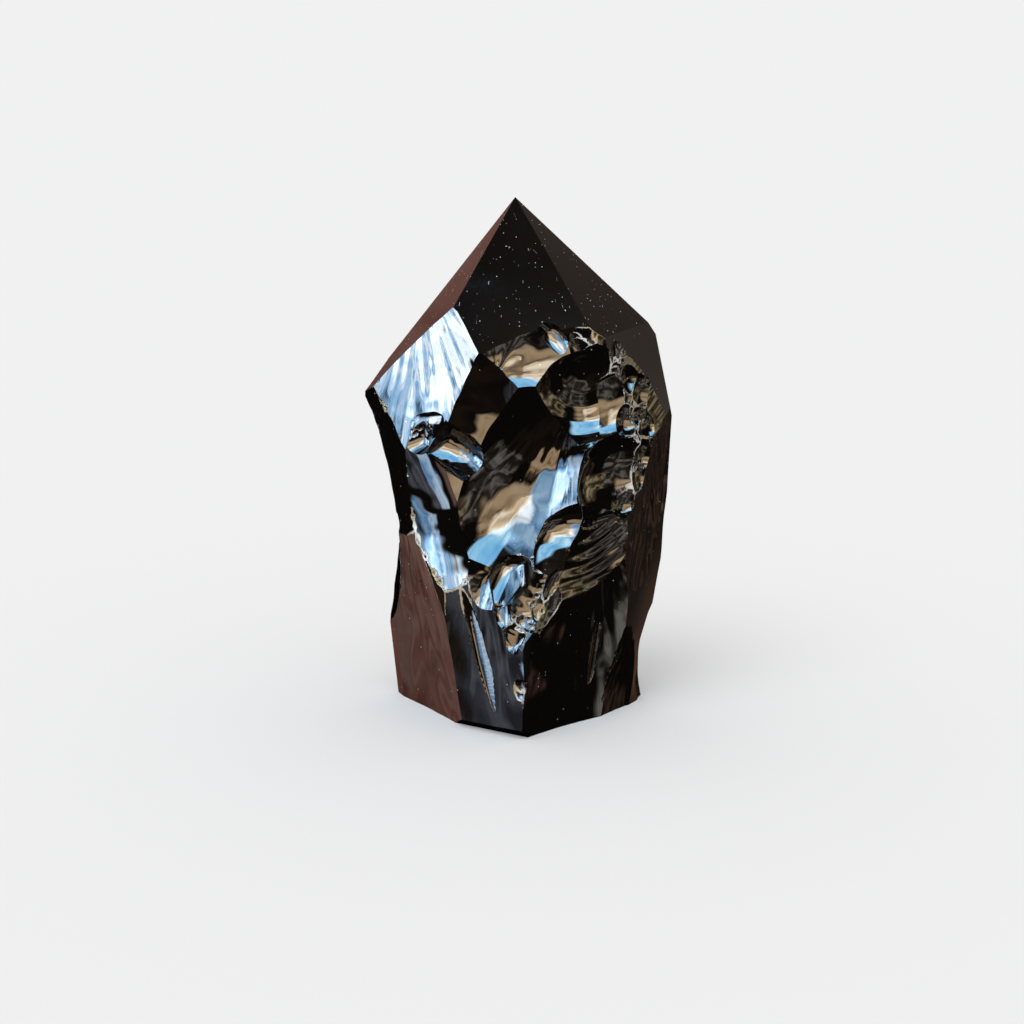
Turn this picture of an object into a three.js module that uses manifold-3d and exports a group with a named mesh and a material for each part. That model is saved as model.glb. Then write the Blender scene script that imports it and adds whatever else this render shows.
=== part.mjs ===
// A part-polished obsidian point: one lump of black volcanic glass, raw and flaked on the body,
// cut and polished to flat faces at the tip, and cut flat at the foot so that it stands.
// Millimetres, +Z up, the broad flaked side faces -Y. The foot rests on Z = 0.

import * as THREE from 'three';
import { mergeVertices } from 'three/addons/utils/BufferGeometryUtils.js';
import Module from 'manifold-3d';

const wasm = await Module();
wasm.setup();

// Driving dimensions of the whole stone
const tipHeight = 100;
const tip = [0.6, 0, tipHeight];
const shoulderHeight = 61;
const footRidge = [1.5, -21.5, 0];
// The middle of the finished stone's box, which is moved onto the origin
const middle = { x: 1.3, y: -0.1 };

// How finely a flake scar is faceted
const scarRings = 4;
const scarSides = 20;
// A scar's dish goes on past its rim, so that it leaves the stone cleanly
const outerRings = [1.3, 1.8];
const roomAboveScar = 60;

// Every flat face: a point on it, the way that it faces (0 is -Y, 90 is +X) and its upward tilt
const polishedFaces = [
  { at: tip, facing: 0, tilt: 35 },
  { at: tip, facing: -75, tilt: 36.7 },
  { at: tip, facing: 58, tilt: 41.2 },
  { at: tip, facing: 125, tilt: 42.6 },
  { at: tip, facing: -130, tilt: 33.6 },
  { at: tip, facing: 180, tilt: 36 },
];
const rawFaces = [
  { at: [0, -24.5, 40], facing: 0, tilt: -2 },
  { at: footRidge, facing: -30, tilt: -3 },
  { at: [-8, -15.4, 0], facing: -50, tilt: -6 },
  { at: [-17, -5, 0], facing: -66, tilt: -7 },
  { at: [-28.9, 0, shoulderHeight], facing: -95, tilt: -4.6 },
  { at: footRidge, facing: 38, tilt: -4 },
  { at: [17, -10, 0], facing: 59, tilt: -6 },
  { at: [16, -17, 74], facing: 60, tilt: 14 },
  { at: [28.9, 2, 68], facing: 88, tilt: 12 },
  { at: [30.9, 2, 55], facing: 90, tilt: -2 },
  { at: [22, 14, 30], facing: 130, tilt: 0 },
  { at: [0, 22, 30], facing: 178, tilt: 0 },
  { at: [-20, 16, 30], facing: -135, tilt: 0 },
];
const footFaces = [
  { at: [0, 0, 0], facing: 0, tilt: -90 },
  { at: [-8, -15.2, 2.2], facing: -32, tilt: -48 },
];

// Every flake scar: the floor of its dish, the way it faces, its turn about that way, and the half
// width, half length and rise of its rim
const frontScars = [
  { name: 'shoulder', at: [-15.5, -9.5, 68.5], facing: -43, tilt: 6, turn: 0, rim: [13, 13, 0.9] },
  { name: 'brow', at: [6.5, -16, 72.5], facing: 7, tilt: 4, turn: -4, rim: [8.5, 5.5, 0.9] },
  { name: 'hollow wall', at: [-5.5, -15.5, 63], facing: -8, tilt: -12, turn: 8, rim: [7.5, 11, 1.5] },
  { name: 'hollow', at: [0.5, -10.5, 47.5], facing: 3, tilt: 3, turn: 30, rim: [12.5, 18, 6.8] },
  { name: 'lobe', at: [14, -10.3, 61.5], facing: 8, tilt: 9, turn: -20, rim: [6, 6, 1.9] },
  { name: 'fan', at: [17.5, -11.2, 57.8], facing: 13, tilt: 30, turn: -20, rim: [5, 4.5, 1.1] },
  { name: 'right rim', at: [22, -8, 64.5], facing: 52, tilt: 4, turn: -35, rim: [6, 9, 0.7] },
  { name: 'under shoulder', at: [-16.2, -10.4, 61.5], facing: -37, tilt: -14, turn: -10, rim: [7.5, 4.5, 1.8] },
  { name: 'left leaf', at: [-14, -12.1, 48.5], facing: -43, tilt: -11, turn: -24, rim: [8.2, 14.5, 1.9] },
  { name: 'left flank', at: [-17.5, -3.5, 14.5], facing: -57, tilt: -8, turn: -5, rim: [13.5, 23.5, 0.5] },
  { name: 'left front', at: [-5, -17.5, 16], facing: -33, tilt: -5, turn: 0, rim: [9, 18, 0.3] },
  { name: 'right cup', at: [17, -9, 49.5], facing: 34, tilt: -4, turn: 0, rim: [8.5, 8, 3] },
  { name: 'pocket', at: [7.5, -13.2, 40.5], facing: 20, tilt: -15, turn: -30, rim: [5.5, 3.5, 2] },
  { name: 'rippled scar', at: [13, -12.5, 34], facing: 39, tilt: -1, turn: 22, rim: [8.5, 10.5, 1.6] },
  { name: 'upper step', at: [1.2, -19.2, 30], facing: -30, tilt: 14, turn: 10, rim: [5.5, 7, 1.2] },
  { name: 'middle step', at: [5, -18.6, 29], facing: -5, tilt: 10, turn: 20, rim: [3, 6, 0.8] },
  { name: 'lower step', at: [5.5, -19, 28], facing: 37, tilt: -1, turn: 25, rim: [5.5, 6.5, 1] },
  { name: 'eye', at: [-5.2, -13.2, 51], facing: -36, tilt: 12, turn: 32, rim: [4.6, 2.2, 0.9] },
  { name: 'right front', at: [12, -12, 13.5], facing: 41, tilt: -6, turn: 10, rim: [11.5, 20, 0.9] },
  { name: 'right slab', at: [19.5, -4.5, 5], facing: 54, tilt: -7, turn: 20, rim: [7.5, 13, 0.7] },
];
const sideScars = [
  { name: 'left strip', at: [-22, -4, 46], facing: -58, tilt: -5, turn: -8, rim: [8.5, 17.5, 0.6] },
  { name: 'right side', at: [25, -3, 38], facing: 57, tilt: -5, turn: -3, rim: [8, 13.5, 0.5] },
  { name: 'right flute', at: [27.5, -1, 40], facing: 76, tilt: -3, turn: 4, rim: [6, 26, 2.2] },
  { name: 'right foot notch', at: [24.5, 2, 6], facing: 92, tilt: 0, turn: 0, rim: [8, 14, 3.4] },
  { name: 'right shoulder', at: [26.5, 10, 66], facing: 112, tilt: 20, turn: -20, rim: [10, 14, 3] },
  { name: 'left waist', at: [-21.5, 4, 33], facing: -86, tilt: 0, turn: 0, rim: [15, 24, 4.8] },
];
const backScars = [
  { name: 'back right', at: [21.3, 11.3, 42], facing: 126, tilt: 2, turn: 8, rim: [12, 24, 3.2] },
  { name: 'back right foot', at: [20.8, 10.8, 16], facing: 128, tilt: -3, turn: -10, rim: [13, 18, 2.6] },
  { name: 'back upper', at: [9, 15.5, 67], facing: 152, tilt: 22, turn: -30, rim: [14, 17, 3] },
  { name: 'back hollow', at: [-4, 16, 46], facing: 176, tilt: 8, turn: 25, rim: [15, 19, 4] },
  { name: 'back step', at: [0, 18, 29], facing: 184, tilt: 10, turn: 70, rim: [9, 16, 2.6] },
  { name: 'back foot', at: [3, 18, 12], facing: 172, tilt: -6, turn: -15, rim: [15, 17, 2.2] },
  { name: 'back left', at: [-18.5, 10.5, 58], facing: -128, tilt: 16, turn: 20, rim: [12, 18, 3.4] },
  { name: 'back left middle', at: [-17.5, 13, 36], facing: -138, tilt: 0, turn: -8, rim: [12, 17, 2.8] },
  { name: 'back left foot', at: [-18, 13, 14], facing: -140, tilt: -4, turn: 12, rim: [12, 17, 2.4] },
];

// A closed geometry becomes a solid once its shared corners are merged
function toSolid(geometry) {
  geometry.deleteAttribute('normal');
  geometry.deleteAttribute('uv');
  const merged = mergeVertices(geometry);
  const index = merged.index.array;
  const triangles = [];
  for (let i = 0; i < index.length; i += 3) {
    const [a, b, c] = index.slice(i, i + 3);
    if (a !== b && b !== c && c !== a) triangles.push(a, b, c);
  }
  return new wasm.Manifold(new wasm.Mesh({
    numProp: 3,
    vertProperties: new Float32Array(merged.attributes.position.array),
    triVerts: new Uint32Array(triangles),
  }));
}

// Places a cutter whose own -Y points out of the stone
function placement({ at, facing, tilt, turn = 0 }) {
  const radians = THREE.MathUtils.degToRad;
  const turned = new THREE.Euler(-radians(tilt), radians(turn), radians(facing), 'ZXY');
  return new THREE.Matrix4().makeRotationFromEuler(turned).setPosition(...at);
}

// The block that a saw takes off outside one flat face
function offcut(face) {
  const size = 3 * tipHeight;
  const block = new THREE.BoxGeometry(size, size, size);
  block.translate(0, -size / 2, 0);
  return toSolid(block.applyMatrix4(placement(face)));
}

// The shallow dish that one flake leaves: a bowl that rises with the square of the way out
function flakeDish(scar) {
  const [halfWidth, halfLength, rise] = scar.rim;
  const steps = Array.from({ length: scarRings + 1 }, (_, i) => i / scarRings).concat(outerRings);
  const profile = steps.map((r) => new THREE.Vector2(r, rise * r * r));
  const last = profile[profile.length - 1];
  profile.push(new THREE.Vector2(last.x, last.y + roomAboveScar));
  profile.push(new THREE.Vector2(0, last.y + roomAboveScar));
  const dish = new THREE.LatheGeometry(profile, scarSides);
  dish.scale(halfWidth, 1, halfLength);
  dish.rotateX(Math.PI);
  return toSolid(dish.applyMatrix4(placement(scar)));
}

// The sawn blank: a block that every flat face has been cut on
function blank() {
  const size = 2 * tipHeight;
  const rough = new THREE.BoxGeometry(size, size, size);
  const faces = [...polishedFaces, ...rawFaces, ...footFaces];
  return faces.reduce((stone, face) => stone.subtract(offcut(face)), toSolid(rough));
}

// The blank with every flake struck off it
function flakedStone() {
  const scars = [...frontScars, ...sideScars, ...backScars];
  return scars.reduce((stone, scar) => stone.subtract(flakeDish(scar)), blank());
}

function toGeometry(solid) {
  const mesh = solid.getMesh();
  const geometry = new THREE.BufferGeometry();
  geometry.setAttribute('position', new THREE.BufferAttribute(mesh.vertProperties, 3));
  geometry.setIndex(new THREE.BufferAttribute(mesh.triVerts, 1));
  geometry.translate(-middle.x, -middle.y, 0);
  const flat = geometry.toNonIndexed();
  flat.computeVertexNormals();
  return flat;
}

function obsidianMaterial() {
  return new THREE.MeshStandardMaterial({ color: 0x141213, roughness: 0.08, metalness: 0 });
}

const stone = new THREE.Mesh(toGeometry(flakedStone()), obsidianMaterial());
stone.name = 'obsidian_point';

const group = new THREE.Group();
group.add(stone);

export default group;
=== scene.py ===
import math
import random
import bpy
import bmesh
from mathutils import Matrix, Vector, noise
from mathutils.kdtree import KDTree


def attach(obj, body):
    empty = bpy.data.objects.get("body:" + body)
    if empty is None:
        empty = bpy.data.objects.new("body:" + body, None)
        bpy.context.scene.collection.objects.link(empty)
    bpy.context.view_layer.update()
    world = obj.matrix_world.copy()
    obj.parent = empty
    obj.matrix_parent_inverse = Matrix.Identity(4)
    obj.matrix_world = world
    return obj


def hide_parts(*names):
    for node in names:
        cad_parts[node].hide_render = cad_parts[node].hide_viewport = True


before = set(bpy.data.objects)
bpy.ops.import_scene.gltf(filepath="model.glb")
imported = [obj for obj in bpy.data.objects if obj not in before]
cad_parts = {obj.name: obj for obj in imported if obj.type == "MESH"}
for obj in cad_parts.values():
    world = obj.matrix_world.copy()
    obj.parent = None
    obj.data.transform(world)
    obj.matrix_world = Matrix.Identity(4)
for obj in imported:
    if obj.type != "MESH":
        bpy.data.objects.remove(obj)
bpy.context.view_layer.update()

mm = 0.001

# The stone: flat faces and flake scars, in millimetres with the tip over x = 0.6.
# facing: 0 looks to the front (-Y), 90 to the right (+X). tilt: upward. turn: about the way it faces.
stoneSizes = {
    "tip": (0.6, 0.0, 100.0),
    "middle": (1.3, -0.1, 0.0),       # moved onto the origin, as the solid is
    "footRidge": (1.5, -21.5, 0.0),
    "blockSize": 200.0,
    "frontSpacing": 0.36,             # mesh spacing on the scars that the front shows
    "backSpacing": 0.7,
    "dishReach": 1.8,                 # how far a dish goes past its rim, in rims
    "roomAboveScar": 60.0,            # from the floor of a dish to its cutter's top
    "lidGap": 1.0,                    # a dish ends this far under its cutter's top
    "frontSwell": 0.22,               # height of the slow waves in a scar
    "backSwell": 0.35,
}

tip = stoneSizes["tip"]
footRidge = stoneSizes["footRidge"]

polishedFaces = [
    (tip, 0, 35),
    (tip, -75, 36.7),
    (tip, 58, 41.2),
    (tip, 125, 42.6),
    (tip, -130, 33.6),
    (tip, 180, 36),
]
rawFaces = [
    ((0, -24.5, 40), 0, -2),
    (footRidge, -30, -3),
    ((-8, -15.4, 0), -50, -6),
    ((-17, -5, 0), -66, -7),
    ((-28.9, 0, 61), -95, -4.6),
    (footRidge, 38, -4),
    ((17, -10, 0), 59, -6),
    ((16, -17, 74), 60, 14),
    ((28.9, 2, 68), 88, 12),
    ((30.9, 2, 55), 90, -2),
    ((22, 14, 30), 130, 0),
    ((0, 22, 30), 178, 0),
    ((-20, 16, 30), -135, 0),
]
footFaces = [
    ((0, 0, 0), 0, -90),
    ((-8, -15.2, 2.2), -32, -48),
]

# name, floor of the dish, facing, tilt, turn, (half width, half length, rise),
# (strike across, strike along) as parts of the rim, (ripple height, ripple spacing),
# (hackle height, hackle spacing), how much of the fine comb ripple and of the fine hackle it shows
scars = [
    ("shoulder", (-15.5, -9.5, 68.5), -43, 6, 0, (13, 13, 0.9), (-0.3, 1.6), (0.02, 4), (0.15, 1.8), 0, 1),
    ("brow", (6.5, -16, 72.5), 7, 4, -4, (8.5, 5.5, 0.9), (-1.2, -0.6), (0.02, 3), (0.2, 2.6), 0, 0.2),
    ("hollowWall", (-5.5, -15.5, 63), -8, -12, 8, (7.5, 11, 1.5), (0.2, 1.5), (0.03, 5), (0.04, 2), 0, 0.3),
    ("hollow", (0.5, -10.5, 47.5), 3, 3, 30, (12.5, 18, 6.8), (0.0, 1.3), (0.03, 5), (0.1, 1.6), 0, 0.9),
    ("lobe", (14, -10.3, 61.5), 8, 9, -20, (6, 6, 1.9), (0.2, 1.2), (0.12, 2.4), (0.04, 2), 0, 0.2),
    ("fan", (17.5, -11.2, 57.8), 13, 30, -20, (5, 4.5, 1.1), (-1.1, -0.2), (0.02, 3), (0.16, 1.6), 0, 1),
    ("rightRim", (22, -8, 64.5), 52, 4, -35, (6, 9, 0.7), (0.3, 1.4), (0.05, 3), (0.1, 1.6), 0.3, 0.6),
    ("underShoulder", (-16.2, -10.4, 61.5), -37, -14, -10, (7.5, 4.5, 1.8), (-0.4, 1.3), (0.05, 3.5), (0.06, 2), 0, 0.5),
    ("leftLeaf", (-14, -12.1, 48.5), -43, -11, -24, (8.2, 14.5, 1.9), (0.3, 1.4), (0.04, 4.5), (0.04, 2), 0, 0.3),
    ("leftFlank", (-17.5, -3.5, 14.5), -57, -8, -5, (13.5, 23.5, 0.5), (0.2, 1.4), (0, 5), (0.05, 3), 0, 0.3),
    ("leftFront", (-5, -17.5, 16), -33, -5, 0, (9, 18, 0.3), (0.0, 1.3), (0, 5), (0.08, 2), 0, 0.4),
    ("rightCup", (17, -9, 49.5), 34, -4, 0, (8.5, 8, 3), (0.4, 1.3), (0.06, 3.5), (0.05, 2), 0, 0.4),
    ("pocket", (7.5, -13.2, 40.5), 20, -15, -30, (5.5, 3.5, 2), (0.8, 1.1), (0.04, 2), (0.05, 1.4), 0, 0.3),
    ("rippledScar", (13, -12.5, 34), 39, -1, 22, (8.5, 10.5, 1.6), (-1.0, 1.2), (0.12, 2.6), (0.05, 1.4), 0.1, 0.8),
    ("upperStep", (1.2, -19.2, 30), -30, 14, 10, (5.5, 7, 1.2), (0.2, 1.4), (0.06, 2.6), (0.1, 1.4), 0, 0.8),
    ("middleStep", (5, -18.6, 29), -5, 10, 20, (3, 6, 0.8), (0.2, 1.4), (0.05, 2.4), (0.08, 1.4), 0, 0.8),
    ("lowerStep", (5.5, -19, 28), 37, -1, 25, (5.5, 6.5, 1), (0.3, 1.4), (0.08, 2.4), (0.05, 1.4), 0, 0.6),
    ("eye", (-5.2, -13.2, 51), -36, 12, 32, (4.6, 2.2, 0.9), (-1.3, 0.0), (0.03, 1.2), (0.05, 1.2), 0, 0.4),
    ("rightFront", (12, -12, 13.5), 41, -6, 10, (11.5, 20, 0.9), (-0.2, 1.3), (0.01, 6), (0.1, 2.2), 0, 0.5),
    ("rightSlab", (19.5, -4.5, 5), 54, -7, 20, (7.5, 13, 0.7), (0.2, 1.4), (0.01, 6), (0.14, 1.6), 0, 0.8),
    ("leftStrip", (-22, -4, 46), -58, -5, -8, (8.5, 17.5, 0.6), (0.0, 1.4), (0, 3), (0.06, 1.6), 0.15, 0.3),
    ("rightSide", (25, -3, 38), 57, -5, -3, (8, 13.5, 0.5), (0.2, 1.4), (0.02, 5), (0.12, 1.4), 0, 0.6),
    ("rightFlute", (27.5, -1, 40), 76, -3, 4, (6, 26, 2.2), (0.1, 1.2), (0.03, 6), (0.1, 1.4), 0, 0.6),
    ("rightFootNotch", (24.5, 2, 6), 92, 0, 0, (8, 14, 3.4), (0.2, 1.2), (0.04, 5), (0.06, 2), 0, 0.5),
    ("rightShoulder", (26.5, 10, 66), 112, 20, -20, (10, 14, 3), (0.2, 1.3), (0.06, 5), (0.12, 2.2), 0, 0.6),
    ("leftWaist", (-21.5, 4, 33), -86, 0, 0, (15, 24, 4.8), (0.3, 1.2), (0.06, 5), (0.12, 2.2), 0, 0.6),
    ("backRight", (21.3, 11.3, 42), 126, 2, 8, (12, 24, 3.2), (0.1, 1.2), (0.06, 5), (0.12, 2.2), 0, 0.6),
    ("backRightFoot", (20.8, 10.8, 16), 128, -3, -10, (13, 18, 2.6), (-0.2, 1.2), (0.06, 5), (0.12, 2.2), 0, 0.6),
    ("backUpper", (9, 15.5, 67), 152, 22, -30, (14, 17, 3), (0.2, 1.2), (0.06, 5), (0.12, 2.2), 0, 0.6),
    ("backHollow", (-4, 16, 46), 176, 8, 25, (15, 19, 4), (0.1, 1.2), (0.06, 5), (0.12, 2.2), 0, 0.6),
    ("backStep", (0, 18, 29), 184, 10, 70, (9, 16, 2.6), (0.2, 1.2), (0.06, 5), (0.12, 2.2), 0, 0.6),
    ("backFoot", (3, 18, 12), 172, -6, -15, (15, 17, 2.2), (0.1, 1.2), (0.06, 5), (0.12, 2.2), 0, 0.6),
    ("backLeft", (-18.5, 10.5, 58), -128, 16, 20, (12, 18, 3.4), (-0.2, 1.2), (0.06, 5), (0.12, 2.2), 0, 0.6),
    ("backLeftMiddle", (-17.5, 13, 36), -138, 0, -8, (12, 17, 2.8), (0.2, 1.2), (0.06, 5), (0.12, 2.2), 0, 0.6),
    ("backLeftFoot", (-18, 13, 14), -140, -4, 12, (12, 17, 2.4), (0.2, 1.2), (0.06, 5), (0.12, 2.2), 0, 0.6),
]
frontCount = 24

# Smaller flakes struck off afterwards: floor of the dish, facing, tilt, turn, (half width, half length, rise)
# What they have alike comes first. steepen: how fast the dish climbs past its rim, so that the scar stays small.
smallFlake = {
    "strike": (0.3, 1.5),
    "ripple": (0.02, 1.2),
    "hackle": (0.03, 0.9),
    "comb": 0.0,
    "feather": 0.5,
    "swell": 0.1,
    "room": 9.0,
    "steepen": 1.2,
    "spacing": 0.3,
}
smallScars = [
    ((18.3, -12.6, 71), 70, 5, 10, (2.5, 3.5, 0.5)),       # down the crumbled right rim
    ((20.2, -9.6, 68), 30, -5, -20, (2.5, 3, 0.5)),
    ((22.7, -6.8, 64), 75, 0, 0, (2.5, 3.5, 0.5)),
    ((23.2, -6.3, 64.8), 20, 28, 30, (2.4, 2.0, 0.3)),
    ((24.6, -5, 57), 49, 12, 0, (2.6, 2.8, 0.9)),
    ((23.6, -5.6, 61), 40, -10, 15, (2.2, 2.5, 0.5)),
    ((21.8, -7.6, 59.5), 10, -5, 0, (2, 2.5, 0.5)),
    ((23.6, -5.6, 52), 65, -5, 0, (2, 3, 0.5)),
    ((23.2, -5.6, 47.5), 60, 5, 0, (2, 3, 0.5)),
    ((21.3, -7, 44), 20, -5, 20, (2.5, 3, 0.6)),
    ((16.7, -15, 74), 30, 10, 0, (2.5, 3, 0.5)),
    ((9, -15.2, 74), -15, 12, 50, (3.5, 1.6, 0.4)),        # folds across the brow
    ((11.5, -15.2, 73), 20, 5, 50, (4, 1.8, 0.5)),
    ((13.3, -15.6, 71.5), 0, -5, 60, (3.5, 1.5, 0.4)),
    ((-17.4, -9.5, 58.6), -18, -16, 30, (2.0, 2.6, 0.5)),   # the rough band under the shoulder
    ((-15.2, -10.6, 57), -60, -12, 20, (2, 2.6, 0.5)),
    ((0.6, -15.6, 34.6), -10, -35, 60, (2.2, 3, 0.8)),     # the crevice and the steps under the hollow
    ((-3.4, -18.2, 28), -38, 14, 10, (3, 4.5, 0.6)),
    ((6, -18.7, 26), 3, 10, 20, (2.6, 3.4, 0.6)),
    ((1.6, -20.6, 24.6), -8, 4, 20, (2.2, 3, 0.5)),
    ((8, -17.2, 28.5), 12, 14, 30, (2, 4, 0.6)),
    ((4, -20.6, 23.4), -30, 10, 60, (2, 2.4, 0.4)),
    ((-1.4, -18.8, 26.5), -28, 4, -10, (1.6, 4.5, 0.4)),
    ((17.4, -10.2, 40.6), 29, -14, 80, (2, 5, 0.5)),
    ((15.1, -9.2, 13.5), 58, -6, 8, (1.6, 6.5, 0.3)),      # down the right side
    ((-4.85, -17, 13.4), -43, -5, -14, (1.5, 11, 0.06)),   # the blue spindle on the left front
    ((1.9, -21.2, 9.5), -35, 5, 20, (1.7, 2.6, 0.3)),        # a nick in the foremost ridge
    ((0.8, -20.4, 22), -18, -4, 10, (2.0, 4, 0.3)),
]

# Where the ridges crumbled: middle of the patch, its reach, how many chips, and how pale its crushed glass is
crumbled = [
    ((19, -12, 70), 5, 12, 0.45),
    ((23, -7, 63), 5, 14, 0.5),
    ((23, -6, 55), 5, 14, 0.55),
    ((22.5, -6.5, 47), 5, 10, 0.45),
    ((14, -15.5, 76), 3.5, 5, 0.7),
    ((-18, -8, 60), 5, 8, 0.15),
    ((-9, -12.5, 53), 3, 2, 0.1),
    ((-17.5, -8.5, 38), 5, 4, 1.2),
    ((-15.5, -11, 32), 5, 6, 1.3),
    ((-10.5, -14, 27.5), 6, 5, 1.3),
    ((6, -16, 37), 5, 6, 0.2),
    ((12, -13, 42), 5, 5, 0.15),
    ((1, -18, 33), 4, 5, 0.4),
    ((7, -19, 25), 5, 8, 0.55),
    ((1, -21, 22), 4, 5, 0.4),
    ((14, -11, 54), 4, 3, 0.2),
    ((0.5, -20.5, 9), 3, 5, 0.8),
    ((16, -8, 8), 9, 8, 0.1),
    ((-20, -2, 30), 12, 8, 0.2),
    ((-24, -3, 60), 8, 8, 0.3),
    ((0, 18, 40), 30, 30, 0.1),
    ((20, 12, 40), 24, 20, 0.1),
    ((-20, 12, 40), 24, 20, 0.1),
]

# The waves of a broken surface: how fast each kind changes over a millimetre, and how far it goes
waves = {
    "wander": 0.08,
    "wanderReach": 4,
    "calm": 0.15,
    "calmMiddle": 0.5,
    "hackle": 0.1,
    "swell": 0.13,
    "seedStep": 17.3,                 # sets the waves of one scar apart from the next one's
}


def place(at, facing, tilt, turn=0):
    # the matrix of a cutter whose own -Y points out of the stone
    spot = (Vector(at) - Vector(stoneSizes["middle"])) * mm
    turned = (Matrix.Rotation(math.radians(facing), 4, "Z")
              @ Matrix.Rotation(-math.radians(tilt), 4, "X")
              @ Matrix.Rotation(math.radians(turn), 4, "Y"))
    return Matrix.Translation(spot) @ turned


def addLayers(bm):
    # flake: which flake a face belongs to. strike: millimetres round and away from where the flake was struck.
    return {
        "flake": bm.faces.layers.int.new("flake"),
        "comb": bm.faces.layers.float.new("comb"),
        "feather": bm.faces.layers.float.new("feather"),
        "strike": bm.loops.layers.uv.new("strike"),
    }


def makeBlank():
    bm = bmesh.new()
    bmesh.ops.create_cube(bm, size=stoneSizes["blockSize"] * mm)
    layers = addLayers(bm)
    for number, (at, facing, tilt) in enumerate(polishedFaces + rawFaces + footFaces):
        matrix = place(at, facing, tilt)
        outward = matrix.to_3x3() @ Vector((0, -1, 0))
        cut = bmesh.ops.bisect_plane(bm, geom=bm.verts[:] + bm.edges[:] + bm.faces[:],
                                     plane_co=matrix.translation, plane_no=outward, clear_outer=True)
        rim = [item for item in cut["geom_cut"] if isinstance(item, bmesh.types.BMEdge)]
        made = bmesh.ops.contextual_create(bm, geom=rim)
        for face in made["faces"]:
            face[layers["flake"]] = -1 - number
    bmesh.ops.recalc_face_normals(bm, faces=bm.faces[:])
    mesh = bpy.data.meshes.new("obsidian_stone")
    bm.to_mesh(mesh)
    bm.free()
    return mesh


def fromStrike(scar, across, along):
    # millimetres round and away from the point where the flake was struck
    halfWidth, halfLength, _ = scar["rim"]
    x = across - scar["strike"][0] * halfWidth
    z = along - scar["strike"][1] * halfLength
    reach = math.hypot(scar["strike"][0] * halfWidth, scar["strike"][1] * halfLength)
    return math.atan2(x, -z) * reach, math.hypot(x, z)


def dishHeight(scar, across, along):
    # how far the broken surface stands above the floor of its dish, in millimetres
    halfWidth, halfLength, rise = scar["rim"]
    outwards = (across / halfWidth) ** 2 + (along / halfLength) ** 2
    bowl = rise * outwards + scar["steepen"] * max(0.0, outwards - 1)
    sideways, away = fromStrike(scar, across, along)
    seed = waves["seedStep"] * scar["number"]
    wander = noise.noise(Vector((across * waves["wander"], along * waves["wander"], seed)))
    calm = waves["calmMiddle"] + noise.noise(Vector((across * waves["calm"], along * waves["calm"], seed + 5)))
    rippleHeight, rippleSpacing = scar["ripple"]
    phase = 2 * math.pi * away / rippleSpacing + waves["wanderReach"] * wander
    ripple = rippleHeight * calm * math.sin(phase)
    hackleHeight, hackleSpacing = scar["hackle"]
    hackle = hackleHeight * noise.noise(Vector((sideways / hackleSpacing, away * waves["hackle"], seed + 9)))
    swell = scar["swell"] * noise.noise(Vector((across * waves["swell"], along * waves["swell"], seed + 3)))
    return min(bowl + ripple + hackle + swell, scar["room"] - stoneSizes["lidGap"])


def makeDish(scar):
    # a cutter whose floor is the broken surface, with walls up to a flat top
    reachX = scar["rim"][0] * stoneSizes["dishReach"]
    reachZ = scar["rim"][1] * stoneSizes["dishReach"]
    bm = bmesh.new()
    layers = addLayers(bm)
    bmesh.ops.create_grid(bm, x_segments=int(2 * reachX / scar["spacing"]),
                          y_segments=int(2 * reachZ / scar["spacing"]), size=1.0)
    for vert in bm.verts:
        across = vert.co.x * reachX
        along = vert.co.y * reachZ
        vert.co = Vector((across, -dishHeight(scar, across, along), along)) * mm
    bm.verts.index_update()
    strikes = [fromStrike(scar, vert.co.x / mm, vert.co.z / mm) for vert in bm.verts]
    for face in bm.faces:
        for loop in face.loops:
            loop[layers["strike"]].uv = strikes[loop.vert.index]
    rimEdges = [edge for edge in bm.edges if edge.is_boundary]
    walls = bmesh.ops.extrude_edge_only(bm, edges=rimEdges)
    top = [item for item in walls["geom"] if isinstance(item, bmesh.types.BMVert)]
    for vert in top:
        vert.co.y = -scar["room"] * mm
    bmesh.ops.contextual_create(bm, geom=[edge for edge in bm.edges if edge.is_boundary])
    bmesh.ops.recalc_face_normals(bm, faces=bm.faces[:])
    for face in bm.faces:
        face[layers["flake"]] = scar["number"]
        face[layers["comb"]] = scar["comb"]
        face[layers["feather"]] = scar["feather"]
    bm.transform(place(scar["at"], scar["facing"], scar["tilt"], scar["turn"]))
    return cutterFrom(bm)


def cutterFrom(bm):
    mesh = bpy.data.meshes.new("cutter")
    bm.to_mesh(mesh)
    bm.free()
    return bpy.data.objects.new("cutter", mesh)


def allScars():
    made = []
    for number, scar in enumerate(scars, start=1):
        _, at, facing, tilt, turn, rim, strike, ripple, hackle, comb, feather = scar
        side = "front" if number <= frontCount else "back"
        made.append({"number": number, "at": at, "facing": facing, "tilt": tilt, "turn": turn, "rim": rim,
                     "strike": strike, "ripple": ripple, "hackle": hackle, "comb": comb, "feather": feather,
                     "swell": stoneSizes[side + "Swell"], "spacing": stoneSizes[side + "Spacing"],
                     "room": stoneSizes["roomAboveScar"], "steepen": 0.0})
    for number, (at, facing, tilt, turn, rim) in enumerate(smallScars, start=len(made) + 1):
        made.append({**smallFlake, "number": number, "at": at, "facing": facing, "tilt": tilt, "turn": turn,
                     "rim": rim})
    return made


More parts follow.
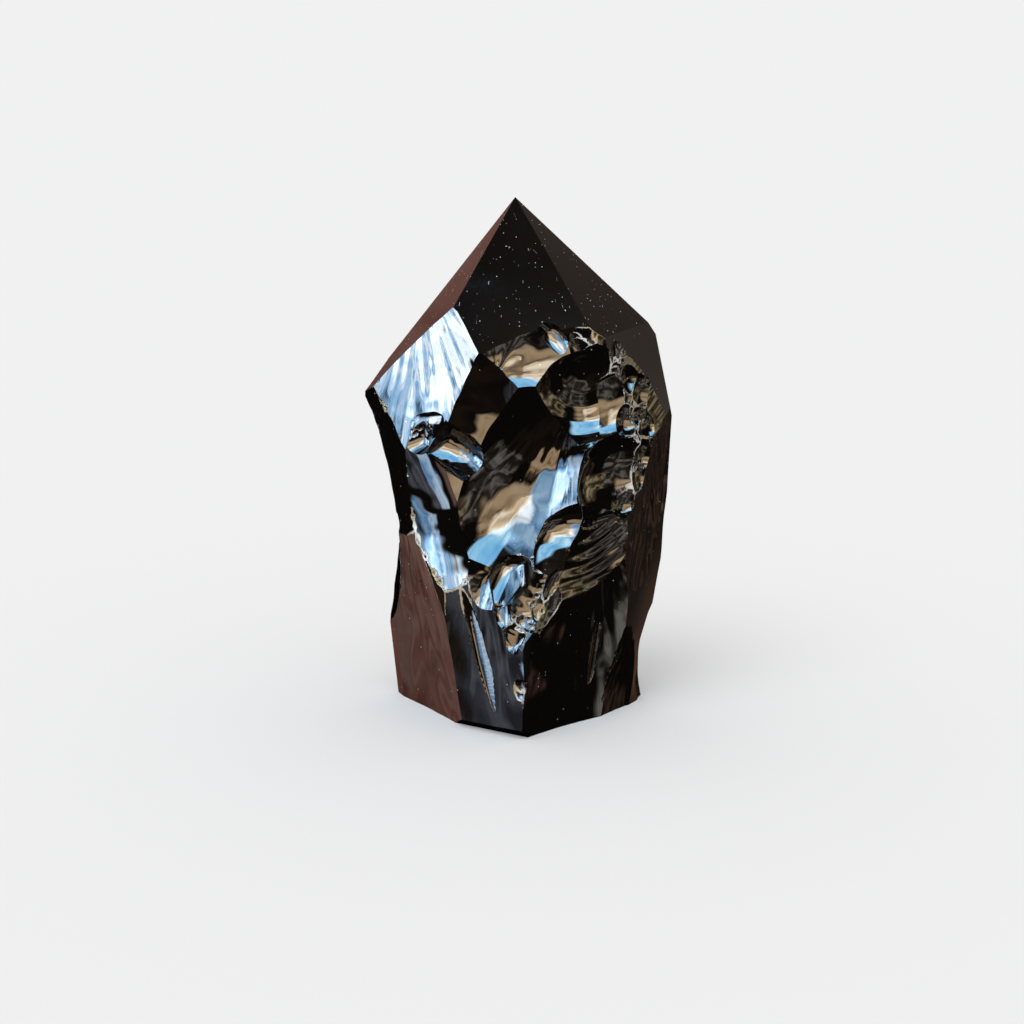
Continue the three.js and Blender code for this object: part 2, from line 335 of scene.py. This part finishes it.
def subtractAll(stone, cutters):
    # takes the cutters off the stone in turn and keeps the result as the stone's own mesh
    for cutter in cutters:
        bpy.context.scene.collection.objects.link(cutter)
        cut = stone.modifiers.new("cut", "BOOLEAN")
        cut.operation = "DIFFERENCE"
        cut.solver = "MANIFOLD"
        cut.object = cutter
    bpy.context.view_layer.update()
    result = bpy.data.meshes.new_from_object(stone.evaluated_get(bpy.context.evaluated_depsgraph_get()))
    stone.modifiers.clear()
    old = stone.data
    stone.data = result
    bpy.data.meshes.remove(old)
    for cutter in cutters:
        mesh = cutter.data
        bpy.data.objects.remove(cutter)
        bpy.data.meshes.remove(mesh)


chipSizes = {
    "smallest": 1.7,          # radius of the ball that a chip is cut with
    "largest": 5.0,
    "shallowest": 0.06,
    "deepest": 0.3,
    "flattest": 0.6,          # how far a ball may be squashed
    "capHeight": 1.1,         # only this much of the ball is used
    "sharpest": 20,           # only ridges that turn by more than this chip
    "wobble": 0.12,
    "lean": (0.15, 0.85),     # a chip faces between the two sides of its ridge
    "gap": 1.1,               # chips of one go stand this far apart, in reaches
    "lumpSize": 1.7,
    "lumpHeight": 0.03,
    "feather": 0.4,
    "seed": 7,
}


def ridgePoints(mesh):
    # the middle of each edge between two flakes that stands proud, and the two ways that its sides face
    bm = bmesh.new()
    bm.from_mesh(mesh)
    flake = bm.faces.layers.int["flake"]
    found = []
    for edge in bm.edges:
        if len(edge.link_faces) != 2:
            continue
        one, other = edge.link_faces
        if one[flake] == other[flake] or (one[flake] < 0 and other[flake] < 0):
            continue
        if edge.calc_face_angle_signed(0) > math.radians(chipSizes["sharpest"]):
            found.append(((edge.verts[0].co + edge.verts[1].co) / 2, one.normal.copy(), other.normal.copy()))
    bm.free()
    return found


def pickChips(stone):
    pick = random.Random(chipSizes["seed"])
    ridges = ridgePoints(stone.data)
    print("ridge points", len(ridges))
    chips = []
    for middle, reach, count, pale in crumbled:
        centre = (Vector(middle) - Vector(stoneSizes["middle"])) * mm
        near = [ridge for ridge in ridges if (ridge[0] - centre).length < reach * mm]
        for _ in range(count if near else 0):
            spot, one, other = pick.choice(near)
            size = chipSizes["smallest"] + (chipSizes["largest"] - chipSizes["smallest"]) * pick.random() ** 2
            depth = pick.uniform(chipSizes["shallowest"], chipSizes["deepest"])
            wobble = Vector([pick.uniform(-chipSizes["wobble"], chipSizes["wobble"]) for _ in range(3)])
            away = (one.lerp(other, pick.uniform(*chipSizes["lean"])).normalized() + wobble).normalized()
            squash = [1.0, pick.uniform(chipSizes["flattest"], 1.0), pick.uniform(chipSizes["flattest"], 1.0)]
            turn = Matrix.Rotation(pick.uniform(0, math.pi), 3, away) @ away.to_track_quat("X", "Z").to_matrix()
            cap = min(chipSizes["capHeight"], size)
            chips.append({"centre": spot + away * (size - depth) * mm, "radius": size * mm,
                          "shape": turn @ Matrix.Diagonal(squash), "away": away,
                          "lid": spot + away * (cap - depth) * mm, "reach": math.sqrt(2 * size * cap) * mm})
    return chips


def chipBatches(chips):
    # chips that don't touch one another can be taken off together
    batches = []
    for chip in chips:
        for batch in batches:
            if all((chip["lid"] - other["lid"]).length > (chip["reach"] + other["reach"]) * chipSizes["gap"]
                   for other in batch):
                batch.append(chip)
                break
        else:
            batches.append([chip])
    return batches


def makeChips(batch, number):
    # one cutter of lumpy caps, numbered on from the flakes before them
    bm = bmesh.new()
    layers = addLayers(bm)
    for chip in batch:
        made = bmesh.ops.create_icosphere(bm, subdivisions=3, radius=chip["radius"])
        verts = made["verts"]
        for vert in verts:
            lump = noise.noise(vert.co / chip["radius"] * chipSizes["lumpSize"] + Vector((number, 0, 0)))
            vert.co = chip["centre"] + chip["shape"] @ (vert.co * (1 + chipSizes["lumpHeight"] * lump))
        # gathered in a fixed order, so that every run cuts alike
        faces = list(dict.fromkeys(face for vert in verts for face in vert.link_faces))
        edges = list(dict.fromkeys(edge for vert in verts for edge in vert.link_edges))
        cut = bmesh.ops.bisect_plane(bm, geom=verts + edges + faces, plane_co=chip["lid"],
                                     plane_no=chip["away"], clear_outer=True)
        rim = [item for item in cut["geom_cut"] if isinstance(item, bmesh.types.BMEdge)]
        bmesh.ops.contextual_create(bm, geom=rim)
        for face in bm.faces:
            if face[layers["flake"]] == 0:
                face[layers["flake"]] = number
                face[layers["feather"]] = chipSizes["feather"]
        number += 1
    bmesh.ops.recalc_face_normals(bm, faces=bm.faces[:])
    return cutterFrom(bm)


def crumbleRidges(stone, firstNumber):
    chips = pickChips(stone)
    batches = chipBatches(chips)
    number = firstNumber
    cutters = []
    for batch in batches:
        cutters.append(makeChips(batch, number))
        number += len(batch)
    subtractAll(stone, cutters)
    print("chipped", len(chips), "chips in", len(batches), "goes")


def dropCrumbs(mesh):
    # chips that meet can leave a crumb hanging free of the stone
    bm = bmesh.new()
    bm.from_mesh(mesh)
    pieces = []
    seen = set()
    for start in bm.verts:
        if start in seen:
            continue
        piece = [start]
        seen.add(start)
        for vert in piece:
            for edge in vert.link_edges:
                other = edge.other_vert(vert)
                if other not in seen:
                    seen.add(other)
                    piece.append(other)
        pieces.append(piece)
    pieces.sort(key=len)
    crumbs = [vert for piece in pieces[:-1] for vert in piece]
    bmesh.ops.delete(bm, geom=crumbs, context="VERTS")
    bm.to_mesh(mesh)
    bm.free()
    print("dropped", len(pieces) - 1, "loose crumbs")


def markRidges(mesh):
    # the ridges between flake scars are sharp, and each scar is smooth across itself
    bm = bmesh.new()
    bm.from_mesh(mesh)
    flake = bm.faces.layers.int["flake"]
    for face in bm.faces:
        face.smooth = face[flake] > 0
        face.material_index = 1 if -len(polishedFaces) <= face[flake] < 0 else 0
    for edge in bm.edges:
        sides = {face[flake] for face in edge.link_faces}
        edge.smooth = len(sides) == 1
    bm.to_mesh(mesh)
    bm.free()


def crushAndHighlightRidges(mesh):
    # paleness of each point, from how near it is to a ridge: pale crushed glass in the crumbled patches, and a
    # faint painted highlight along every ridge
    bm = bmesh.new()
    bm.from_mesh(mesh)
    flake = bm.faces.layers.int["flake"]
    crushAndHighlight = bm.loops.layers.float.new("crushAndHighlight")
    ridge = [vert.co for vert in bm.verts if not all(edge.smooth for edge in vert.link_edges)]
    tree = KDTree(len(ridge))
    for index, co in enumerate(ridge):
        tree.insert(co, index)
    tree.balance()
    patches = [((Vector(middle) - Vector(stoneSizes["middle"])) * mm, reach * mm, pale)
               for middle, reach, _, pale in crumbled]
    paleness = []
    bm.verts.index_update()
    for vert in bm.verts:
        near = max(0.0, 1 - tree.find(vert.co)[2] / (wear["edgeReach"] * mm))
        patch = max(pale * max(0.0, 1 - (vert.co - centre).length / reach) for centre, reach, pale in patches)
        # crushed glass in the crumbled patches, plus a painted highlight along every ridge
        paleness.append(min(1.0, near * (wear["everyEdgeHighlight"] + 2 * patch)))
    for face in bm.faces:
        for loop in face.loops:
            loop[crushAndHighlight] = paleness[loop.vert.index] if face[flake] > 0 else 0.0
    bm.to_mesh(mesh)
    bm.free()


def srgb(code):
    # a hex colour as linear red, green, blue, alpha
    channels = [int(code[i:i + 2], 16) / 255 for i in (1, 3, 5)]
    return [c / 12.92 if c <= 0.04045 else ((c + 0.055) / 1.055) ** 2.4 for c in channels] + [1.0]


def addNode(tree, kind, settings=None, links=None):
    # one node with its settings, and its inputs linked by name or number
    node = tree.nodes.new(kind)
    for key, value in (settings or {}).items():
        if isinstance(key, int) or key in node.inputs:
            node.inputs[key].default_value = value
        else:
            setattr(node, key, value)
    for key, source in (links or {}).items():
        tree.links.new(source, node.inputs[key])
    return node


# Fine wear, in millimetres unless a comment says that it is a share
wear = {
    "edgeReach": 0.35,         # how far the crushed edge and the painted highlight along a ridge reach
    "everyEdgeHighlight": 0.15,         # how pale the painted highlight along a ridge is outside the crumbled patches, as a share
    "featherSpacing": 0.55,    # fine hackle lines
    "featherLength": 9.0,
    "featherHeight": 0.018,
    "combSpacing": 1.1,        # fine ripples
    "combHeight": 0.03,
    "combWobble": 3.0,
    "patchSize": 7.0,          # the hackles come and go over this distance
    "gritSize": 0.35,          # grains of the crushed glass and of the painted ridge highlight
    "crumbHeight": 0.12,
    "tintSize": 5.0,           # the crushed glass and the painted ridge highlight turn from pale to brown over this distance
    "brokenDust": (1.2, 0.08, 0.3),     # spacing, size and share of the specks, the last two as shares
    "polishedDust": (0.6, 0.15, 0.2),
    "hazeSize": 9.0,
    "bendSize": 2.5,           # scratches and lint curve over this distance
    "bendReach": 2.2,
    "scratchSpacing": 0.8,
    "scratchLength": 6,
    "scratchPaleness": 0.42,   # a share
}

glassColours = {
    "glass": "#0b0908",
    # pale crushed glass, also used for the painted highlight along every ridge
    "crushedAndHighlight": "#c4c0b8",
    "crushedAndHighlightBrown": "#8a744a",
    "dust": "#d8d4cc",
}


def newGlass(name):
    # a plain glassy material, its nodes, its shader and the Object coordinates that its textures are placed by
    material = bpy.data.materials.new(name)
    material.use_nodes = True
    tree = material.node_tree
    shader = tree.nodes["Principled BSDF"]
    shader.inputs["IOR"].default_value = 1.5
    return material, tree, shader, addNode(tree, "ShaderNodeTexCoord").outputs["Object"]


def mixColours(tree, factor, low, high):
    # low and high are each a hex colour or the output that a colour comes from
    mix = addNode(tree, "ShaderNodeMix", {"data_type": "RGBA"}, {"Factor": factor})
    lowInput, highInput, result = mix.inputs[6], mix.inputs[7], mix.outputs[2]
    for socket, source in ((lowInput, low), (highInput, high)):
        if isinstance(source, str):
            socket.default_value = srgb(source)
        else:
            tree.links.new(source, socket)
    return result


def blotches(tree, place, size, detail=1.0, roughness=0.5):
    # a noise with lumps of about this size in millimetres
    return addNode(tree, "ShaderNodeTexNoise", {"Scale": 1 / (size * mm), "Detail": detail, "Roughness": roughness},
                   {"Vector": place})


def dustSpecks(tree, place, spacing, size, share):
    # a white speck in some of the cells of a grid
    cells = addNode(tree, "ShaderNodeTexVoronoi", {"Scale": 1 / (spacing * mm), "Randomness": 1.0},
                    {"Vector": place})
    small = addNode(tree, "ShaderNodeMath", {"operation": "LESS_THAN", 1: size}, {0: cells.outputs["Distance"]})
    chosen = addNode(tree, "ShaderNodeSeparateColor", {}, {"Color": cells.outputs["Color"]})
    kept = addNode(tree, "ShaderNodeMath", {"operation": "LESS_THAN", 1: share}, {0: chosen.outputs["Red"]})
    speck = addNode(tree, "ShaderNodeMath", {"operation": "MULTIPLY"}, {0: small.outputs[0], 1: kept.outputs[0]})
    return addNode(tree, "ShaderNodeMath", {"operation": "MULTIPLY"},
                   {0: speck.outputs[0], 1: chosen.outputs["Green"]}).outputs[0]


def brokenGlass():
    # Obsidian, a volcanic glass, freshly broken: black, hard and wet-looking. Fine hackle lines fan out from
    # where each flake was struck, and the glass turns pale or brown where its edges are crushed. The same pale
    # colour along every ridge is a painted highlight.
    material, tree, shader, place = newGlass("obsidian_broken")
    strike = addNode(tree, "ShaderNodeUVMap", {"uv_map": "strike"}).outputs["UV"]
    feather = addNode(tree, "ShaderNodeAttribute", {"attribute_name": "feather"}).outputs["Fac"]
    comb = addNode(tree, "ShaderNodeAttribute", {"attribute_name": "comb"}).outputs["Fac"]
    crushAndHighlight = addNode(tree, "ShaderNodeAttribute", {"attribute_name": "crushAndHighlight"}).outputs["Fac"]

    lines = addNode(tree, "ShaderNodeMapping",
                    {"Scale": (1 / wear["featherSpacing"], 1 / wear["featherLength"], 1)}, {"Vector": strike})
    hackle = addNode(tree, "ShaderNodeTexNoise", {"Scale": 1.0, "Detail": 2.0, "Distortion": 0.3},
                     {"Vector": lines.outputs["Vector"]})
    patches = blotches(tree, place, wear["patchSize"])
    calm = addNode(tree, "ShaderNodeMapRange", {"From Min": 0.42, "From Max": 0.62},
                   {"Value": patches.outputs["Fac"]})
    calmed = addNode(tree, "ShaderNodeMath", {"operation": "MULTIPLY"}, {0: feather, 1: calm.outputs["Result"]})
    hackled = addNode(tree, "ShaderNodeMath", {"operation": "MULTIPLY"},
                      {0: hackle.outputs["Fac"], 1: calmed.outputs[0]})
    away = addNode(tree, "ShaderNodeSeparateXYZ", {}, {"Vector": strike}).outputs["Y"]
    wobble = blotches(tree, place, wear["combWobble"])
    wavy = addNode(tree, "ShaderNodeMath", {"operation": "MULTIPLY_ADD", 1: 2 * math.pi / wear["combSpacing"]},
                   {0: away, 2: wobble.outputs["Fac"]})
    wave = addNode(tree, "ShaderNodeMath", {"operation": "SINE"}, {0: wavy.outputs[0]})
    combed = addNode(tree, "ShaderNodeMath", {"operation": "MULTIPLY"}, {0: wave.outputs[0], 1: comb})

    # pale where edges are crushed, and a painted highlight along every ridge
    grit = blotches(tree, place, wear["gritSize"], 3.0, 0.7)
    gritty = addNode(tree, "ShaderNodeMath", {"operation": "ADD"}, {0: grit.outputs["Fac"], 1: crushAndHighlight})
    pale = addNode(tree, "ShaderNodeMapRange", {"From Min": 0.85, "From Max": 1.15}, {"Value": gritty.outputs[0]})

    bumps = addNode(tree, "ShaderNodeBump", {"Strength": 1.0, "Distance": wear["featherHeight"] * mm},
                    {"Height": hackled.outputs[0]})
    ribs = addNode(tree, "ShaderNodeBump", {"Strength": 1.0, "Distance": wear["combHeight"] * mm},
                   {"Height": combed.outputs[0], "Normal": bumps.outputs["Normal"]})
    crumbs = addNode(tree, "ShaderNodeBump", {"Strength": 1.0, "Distance": wear["crumbHeight"] * mm},
                     {"Height": pale.outputs["Result"], "Normal": ribs.outputs["Normal"]})
    tree.links.new(crumbs.outputs["Normal"], shader.inputs["Normal"])

    tint = blotches(tree, place, wear["tintSize"])
    browner = addNode(tree, "ShaderNodeMapRange", {"From Min": 0.42, "From Max": 0.58},
                      {"Value": tint.outputs["Fac"]})
    crushedAndHighlight = mixColours(tree, browner.outputs["Result"], glassColours["crushedAndHighlight"], glassColours["crushedAndHighlightBrown"])
    # paints the crushed glass and the painted ridge highlight over the black glass
    colour = mixColours(tree, pale.outputs["Result"], glassColours["glass"], crushedAndHighlight)
    dust = dustSpecks(tree, place, *wear["brokenDust"])
    tree.links.new(mixColours(tree, dust, colour, glassColours["dust"]), shader.inputs["Base Color"])
    gloss = addNode(tree, "ShaderNodeMapRange", {"To Min": 0.02, "To Max": 0.45}, {"Value": pale.outputs["Result"]})
    tree.links.new(gloss.outputs["Result"], shader.inputs["Roughness"])
    return material


def polishedGlass():
    # The same glass cut flat and polished: a deep black mirror, hazed a little by fine scratches, lint and dust.
    material, tree, shader, place = newGlass("obsidian_polished")
    specks = dustSpecks(tree, place, *wear["polishedDust"])
    haze = blotches(tree, place, wear["hazeSize"], 4.0, 0.6)
    smear = addNode(tree, "ShaderNodeMapRange", {"From Min": 0.3, "From Max": 0.75, "To Min": 0.03, "To Max": 0.14},
                    {"Value": haze.outputs["Fac"]})
    bent = blotches(tree, place, wear["bendSize"])
    bend = addNode(tree, "ShaderNodeVectorMath", {"operation": "SCALE", "Scale": wear["bendReach"] * mm},
                   {0: bent.outputs["Color"]})
    moved = addNode(tree, "ShaderNodeVectorMath", {"operation": "ADD"}, {0: place, 1: bend.outputs["Vector"]})
    marks = []
    crosswise, lengthwise = 1 / (wear["scratchSpacing"] * mm), 1 / (wear["scratchLength"] * mm)
    for lean, slant, shift in ((20, 0, 0.0), (75, 40, 0.013), (-50, 20, 0.031)):
        turned = addNode(tree, "ShaderNodeMapping",
                         {"Rotation": (0, math.radians(lean), math.radians(slant)), "Location": (shift, 0, 0),
                          "Scale": (crosswise, lengthwise, lengthwise)},
                         {"Vector": moved.outputs["Vector"]})
        cells = addNode(tree, "ShaderNodeTexVoronoi", {"Scale": 1.0, "Randomness": 1.0},
                        {"Vector": turned.outputs["Vector"]})
        thin = addNode(tree, "ShaderNodeMath", {"operation": "LESS_THAN", 1: 0.08},
                       {0: cells.outputs["Distance"]})
        chosen = addNode(tree, "ShaderNodeSeparateColor", {}, {"Color": cells.outputs["Color"]})
        kept = addNode(tree, "ShaderNodeMath", {"operation": "MULTIPLY"},
                       {0: thin.outputs[0], 1: chosen.outputs["Red"]})
        sparse = addNode(tree, "ShaderNodeMapRange", {"From Min": 0.42}, {"Value": kept.outputs[0]})
        marks.append(sparse.outputs["Result"])
    both = addNode(tree, "ShaderNodeMath", {"operation": "MAXIMUM"}, {0: marks[0], 1: marks[1]})
    scratches = addNode(tree, "ShaderNodeMath", {"operation": "MAXIMUM"}, {0: both.outputs[0], 1: marks[2]})
    faint = addNode(tree, "ShaderNodeMath", {"operation": "MULTIPLY", 1: wear["scratchPaleness"]},
                    {0: scratches.outputs[0]})
    soiled = addNode(tree, "ShaderNodeMath", {"operation": "MAXIMUM"}, {0: faint.outputs[0], 1: specks})
    colour = mixColours(tree, soiled.outputs[0], glassColours["glass"], glassColours["dust"])
    tree.links.new(colour, shader.inputs["Base Color"])
    rough = addNode(tree, "ShaderNodeMath", {"operation": "MULTIPLY_ADD", 1: 0.4},
                    {0: soiled.outputs[0], 2: smear.outputs["Result"]})
    tree.links.new(rough.outputs[0], shader.inputs["Roughness"])
    return material


studioSizes = {
    "around": (-0.001, 0.0, 0.05),    # what every card looks at
    "cardDistance": 0.55,
    "cardStep": 0.004,                # each card stands this much further off than the one before
    "cardStops": (0.32, 0.5, 0.66),   # where a card's three colours stand in its streaks
    "cardFade": 0.16,                 # how much of a card its soft rim takes up, as a share
    "floorSize": 30.0,
    "backdrop": "#f1f1f2",
    "floor": "#e6e6e6",
    "floorRoughness": 0.9,
    "keyFrom": (-0.35, -0.55, 0.9),
    "keyStrength": 0.9,
    "keySpread": 40,
}

# Softboxes and coloured cards that only reflections see. facing: 0 is the front, 90 the right. rise: upward.
# spread: half width and half height in degrees. colours: dark, middle and bright. streaks: across and along.
reflectedCards = {
    "windowLeft": {"facing": -74, "rise": 14, "spread": (26, 22), "radiance": 19, "streaks": (8, 3),
                   "colours": ("#14283c", "#8fbce4", "#f4faff")},
    "windowFar": {"facing": -40, "rise": 14, "spread": (24, 20), "radiance": 15, "streaks": (3, 3),
                  "colours": ("#6f93b4", "#8fb8dc", "#b0d4f0")},
    "windowLow": {"facing": -96, "rise": -1, "spread": (11, 8), "radiance": 18, "streaks": (3, 3),
                  "colours": ("#7f9fb8", "#d6e6f2", "#ffffff")},
    "skyHigh": {"facing": 26, "rise": 46, "spread": (36, 14), "radiance": 18, "streaks": (3, 2),
                "colours": ("#69b4f0", "#8fd4ff", "#c8efff")},
    "roomFront": {"facing": 12, "rise": 17, "spread": (38, 21), "radiance": 10, "streaks": (2, 3),
                  "colours": ("#5f5140", "#d4b48c", "#e3c9a2")},
    "peach": {"facing": -28, "rise": -14, "spread": (20, 10), "radiance": 8, "streaks": (2, 3),
              "colours": ("#8f7350", "#dcb98c", "#f2d6b0")},
    "roomRight": {"facing": 44, "rise": -18, "spread": (30, 28), "radiance": 2.6, "streaks": (5, 8),
                  "colours": ("#1c1814", "#6c6052", "#e8e4da")},
    "greyFarRight": {"facing": 88, "rise": 0, "spread": (26, 15), "radiance": 4.5, "streaks": (6, 5),
                     "colours": ("#2c2416", "#7c6848", "#e0d0a8")},
    "darkFloor": {"facing": -25, "rise": -42, "spread": (40, 20), "radiance": 0.5, "streaks": (3, 4),
                  "colours": ("#0a0705", "#4c3a24", "#8a6c44")},
    "mixedHigh": {"facing": -48, "rise": 44, "spread": (28, 16), "radiance": 14, "streaks": (4, 3),
                  "colours": ("#3f5f80", "#7fb0dc", "#b4d8f4")},
    "greyLowLeft": {"facing": -70, "rise": -26, "spread": (20, 10), "radiance": 1.6, "streaks": (5, 2),
                    "colours": ("#1c1c22", "#9296a8", "#dce6f6")},
    "spindleBlue": {"facing": -88, "rise": -26, "spread": (9, 9), "radiance": 9, "streaks": (2, 2),
                    "colours": ("#5f93c8", "#a8cdf0", "#d8ecff")},
    "brownLeft": {"facing": -126, "rise": -32, "spread": (22, 13), "radiance": 1.6, "streaks": (4, 2),
                  "colours": ("#2c1612", "#9c6458", "#d0a89c")},
    "pinkBehind": {"facing": -157, "rise": 11, "spread": (14, 14), "radiance": 0.8, "streaks": (3, 2),
                   "colours": ("#3c2420", "#b0786a", "#e8b8a8")},
    "roomHigh": {"facing": 0, "rise": 68, "spread": (30, 16), "radiance": 0.5, "streaks": (3, 3),
                 "colours": ("#2c2622", "#8f7f74", "#d0c4b8")},
    "brownRight": {"facing": 145, "rise": -15, "spread": (20, 12), "radiance": 1.0, "streaks": (7, 2),
                   "colours": ("#0c0a08", "#403830", "#8c6448")},
    "dimRight": {"facing": 112, "rise": -18, "spread": (16, 11), "radiance": 1.1, "streaks": (8, 2),
                 "colours": ("#0c0a08", "#5c4c42", "#c08c6c")},
    "greyRight": {"facing": 134, "rise": 20, "spread": (20, 28), "radiance": 0.75, "streaks": (2, 2),
                  "colours": ("#6c5c54", "#8c7c72", "#b4a498")},
    "softBehind": {"facing": 176, "rise": 34, "spread": (22, 14), "radiance": 9, "streaks": (3, 3),
                   "colours": ("#8fa8c0", "#dce8f6", "#ffffff")},
    "warmBehind": {"facing": -150, "rise": 50, "spread": (22, 14), "radiance": 5, "streaks": (3, 3),
                   "colours": ("#8f7c60", "#e0c8a8", "#f8ecd8")},
    "roomBright": {"facing": 0, "rise": 27, "spread": (30, 14), "radiance": 15, "streaks": (3, 3),
                   "colours": ("#a89478", "#dcd0b8", "#f4f0e8")},
    "windowSill": {"facing": -60, "rise": -3, "spread": (11, 9), "radiance": 12, "streaks": (3, 3),
                   "colours": ("#4f86bc", "#a4ccf0", "#e8f4ff")},
    "softLow": {"facing": 180, "rise": 4, "spread": (9, 24), "radiance": 0.8, "streaks": (3, 5),
                "colours": ("#14181c", "#8898a8", "#e8f0f8")},
    "windowNear": {"facing": -57, "rise": 13, "spread": (10, 11), "radiance": 12, "streaks": (4, 3),
                   "colours": ("#5f8fb8", "#b4d8f4", "#f4faff")},
}


def cardPaint(name, card, seed):
    # glows in streaks between three colours and fades out at its rim
    material = bpy.data.materials.new("card_" + name)
    material.use_nodes = True
    tree = material.node_tree
    tree.nodes.clear()
    place = addNode(tree, "ShaderNodeTexCoord").outputs["UV"]
    scaled = addNode(tree, "ShaderNodeMapping", {"Scale": (*card["streaks"], 1), "Location": (seed, 0, 0)},
                     {"Vector": place})
    grain = addNode(tree, "ShaderNodeTexNoise", {"Scale": 1.0, "Detail": 3.0, "Distortion": 0.5},
                    {"Vector": scaled.outputs["Vector"]})
    ramp = addNode(tree, "ShaderNodeValToRGB", {}, {"Fac": grain.outputs["Fac"]})
    stops = ramp.color_ramp.elements
    stops.new(0.5)
    for stop, spot, colour in zip(stops, studioSizes["cardStops"], card["colours"]):
        stop.position = spot
        stop.color = srgb(colour)
    split = addNode(tree, "ShaderNodeSeparateXYZ", {}, {"Vector": place})
    fades = []
    for side in ("X", "Y"):
        inside = addNode(tree, "ShaderNodeMath", {"operation": "PINGPONG", 1: 0.5}, {0: split.outputs[side]})
        fade = addNode(tree, "ShaderNodeMapRange",
                       {"interpolation_type": "SMOOTHSTEP", "From Max": studioSizes["cardFade"]},
                       {"Value": inside.outputs[0]})
        fades.append(fade.outputs["Result"])
    inside = addNode(tree, "ShaderNodeMath", {"operation": "MULTIPLY"}, {0: fades[0], 1: fades[1]})
    power = addNode(tree, "ShaderNodeMath", {"operation": "MULTIPLY", 1: card["radiance"]}, {0: inside.outputs[0]})
    glow = addNode(tree, "ShaderNodeEmission", {}, {"Color": ramp.outputs["Color"], "Strength": power.outputs[0]})
    clear = addNode(tree, "ShaderNodeBsdfTransparent")
    both = addNode(tree, "ShaderNodeAddShader", {}, {0: glow.outputs["Emission"], 1: clear.outputs["BSDF"]})
    addNode(tree, "ShaderNodeOutputMaterial", {}, {"Surface": both.outputs["Shader"]})
    return material


def addCard(name, card, seed):
    turn, up = math.radians(card["facing"]), math.radians(card["rise"])
    away = Vector((math.sin(turn) * math.cos(up), -math.cos(turn) * math.cos(up), math.sin(up)))
    distance = studioSizes["cardDistance"] + studioSizes["cardStep"] * seed
    halfWidth, halfHeight = [distance * math.tan(math.radians(angle)) for angle in card["spread"]]
    bm = bmesh.new()
    bm.loops.layers.uv.new("card")
    bmesh.ops.create_grid(bm, x_segments=1, y_segments=1, size=1.0, calc_uvs=True)
    facing = (-away).to_track_quat("Z", "Y").to_matrix().to_4x4()
    centre = Matrix.Translation(Vector(studioSizes["around"]) + away * distance)
    bm.transform(centre @ facing @ Matrix.Diagonal((halfWidth, halfHeight, 1, 1)))
    mesh = bpy.data.meshes.new("card_" + name)
    bm.to_mesh(mesh)
    bm.free()
    sheet = bpy.data.objects.new("card_" + name, mesh)
    bpy.context.scene.collection.objects.link(sheet)
    mesh.materials.append(cardPaint(name, card, seed))
    sheet.visible_camera = False
    sheet.visible_diffuse = False
    sheet.visible_shadow = False


def makeStudio():
    # a white room: backdrop, floor, one soft light and the reflected cards
    scene = bpy.context.scene
    world = bpy.data.worlds.new("studio")
    scene.world = world
    world.use_nodes = True
    backdrop = world.node_tree.nodes["Background"]
    backdrop.inputs["Color"].default_value = srgb(studioSizes["backdrop"])
    backdrop.inputs["Strength"].default_value = 1.0
    world.cycles_visibility.glossy = False
    bm = bmesh.new()
    bmesh.ops.create_grid(bm, x_segments=1, y_segments=1, size=studioSizes["floorSize"])
    mesh = bpy.data.meshes.new("studio_floor")
    bm.to_mesh(mesh)
    bm.free()
    floor = bpy.data.objects.new("studio_floor", mesh)
    scene.collection.objects.link(floor)
    paint = bpy.data.materials.new("floor_paint")
    paint.use_nodes = True
    shader = paint.node_tree.nodes["Principled BSDF"]
    shader.inputs["Base Color"].default_value = srgb(studioSizes["floor"])
    shader.inputs["Roughness"].default_value = studioSizes["floorRoughness"]
    shader.inputs["Specular IOR Level"].default_value = 0.0
    mesh.materials.append(paint)
    floor.visible_glossy = False
    key = bpy.data.lights.new("keyLight", "SUN")
    key.energy = studioSizes["keyStrength"]
    key.angle = math.radians(studioSizes["keySpread"])
    sun = bpy.data.objects.new("keyLight", key)
    scene.collection.objects.link(sun)
    sun.rotation_euler = Vector(studioSizes["keyFrom"]).to_track_quat("Z", "Y").to_euler()
    sun.visible_glossy = False
    for seed, (name, card) in enumerate(reflectedCards.items()):
        addCard(name, card, seed)


def makeCamera():
    # the photo's view, in metres and degrees
    view = {"elevation": 12.0, "distance": 0.348, "target": (-0.0013, 0.0001, 0.0395), "halfAngle": 16.0,
            "sensorWidth": 36}
    data = bpy.data.cameras.new("photo_view")
    data.sensor_width = view["sensorWidth"]
    data.lens = view["sensorWidth"] / 2 / math.tan(math.radians(view["halfAngle"]))
    data.clip_start = 0.01
    camera = bpy.data.objects.new("photo_view", data)
    bpy.context.scene.collection.objects.link(camera)
    up = math.radians(view["elevation"])
    offset = Vector((0, -math.cos(up), math.sin(up))) * view["distance"]
    camera.location = Vector(view["target"]) + offset
    camera.rotation_euler = (math.pi / 2 - up, 0, 0)
    bpy.context.scene.camera = camera


makeCamera()
makeStudio()
bpy.context.scene.view_settings.view_transform = "Standard"
print("studio ready")

stone = bpy.data.objects.new("obsidian_stone", makeBlank())
bpy.context.scene.collection.objects.link(stone)
flakes = allScars()
subtractAll(stone, [makeDish(scar) for scar in flakes])
print("flaked", len(stone.data.polygons), "faces")
crumbleRidges(stone, len(flakes) + 1)
print("crumbled", len(stone.data.polygons), "faces")
dropCrumbs(stone.data)
stone.data.materials.clear()
stone.data.materials.append(brokenGlass())
stone.data.materials.append(polishedGlass())
markRidges(stone.data)
# pales the ridges: crushed glass in the crumbled patches and a painted highlight along every ridge
crushAndHighlightRidges(stone.data)
stone.data.calc_loop_triangles()
print("triangles", len(stone.data.loop_triangles))
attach(stone, "root")
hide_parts("obsidian_point")
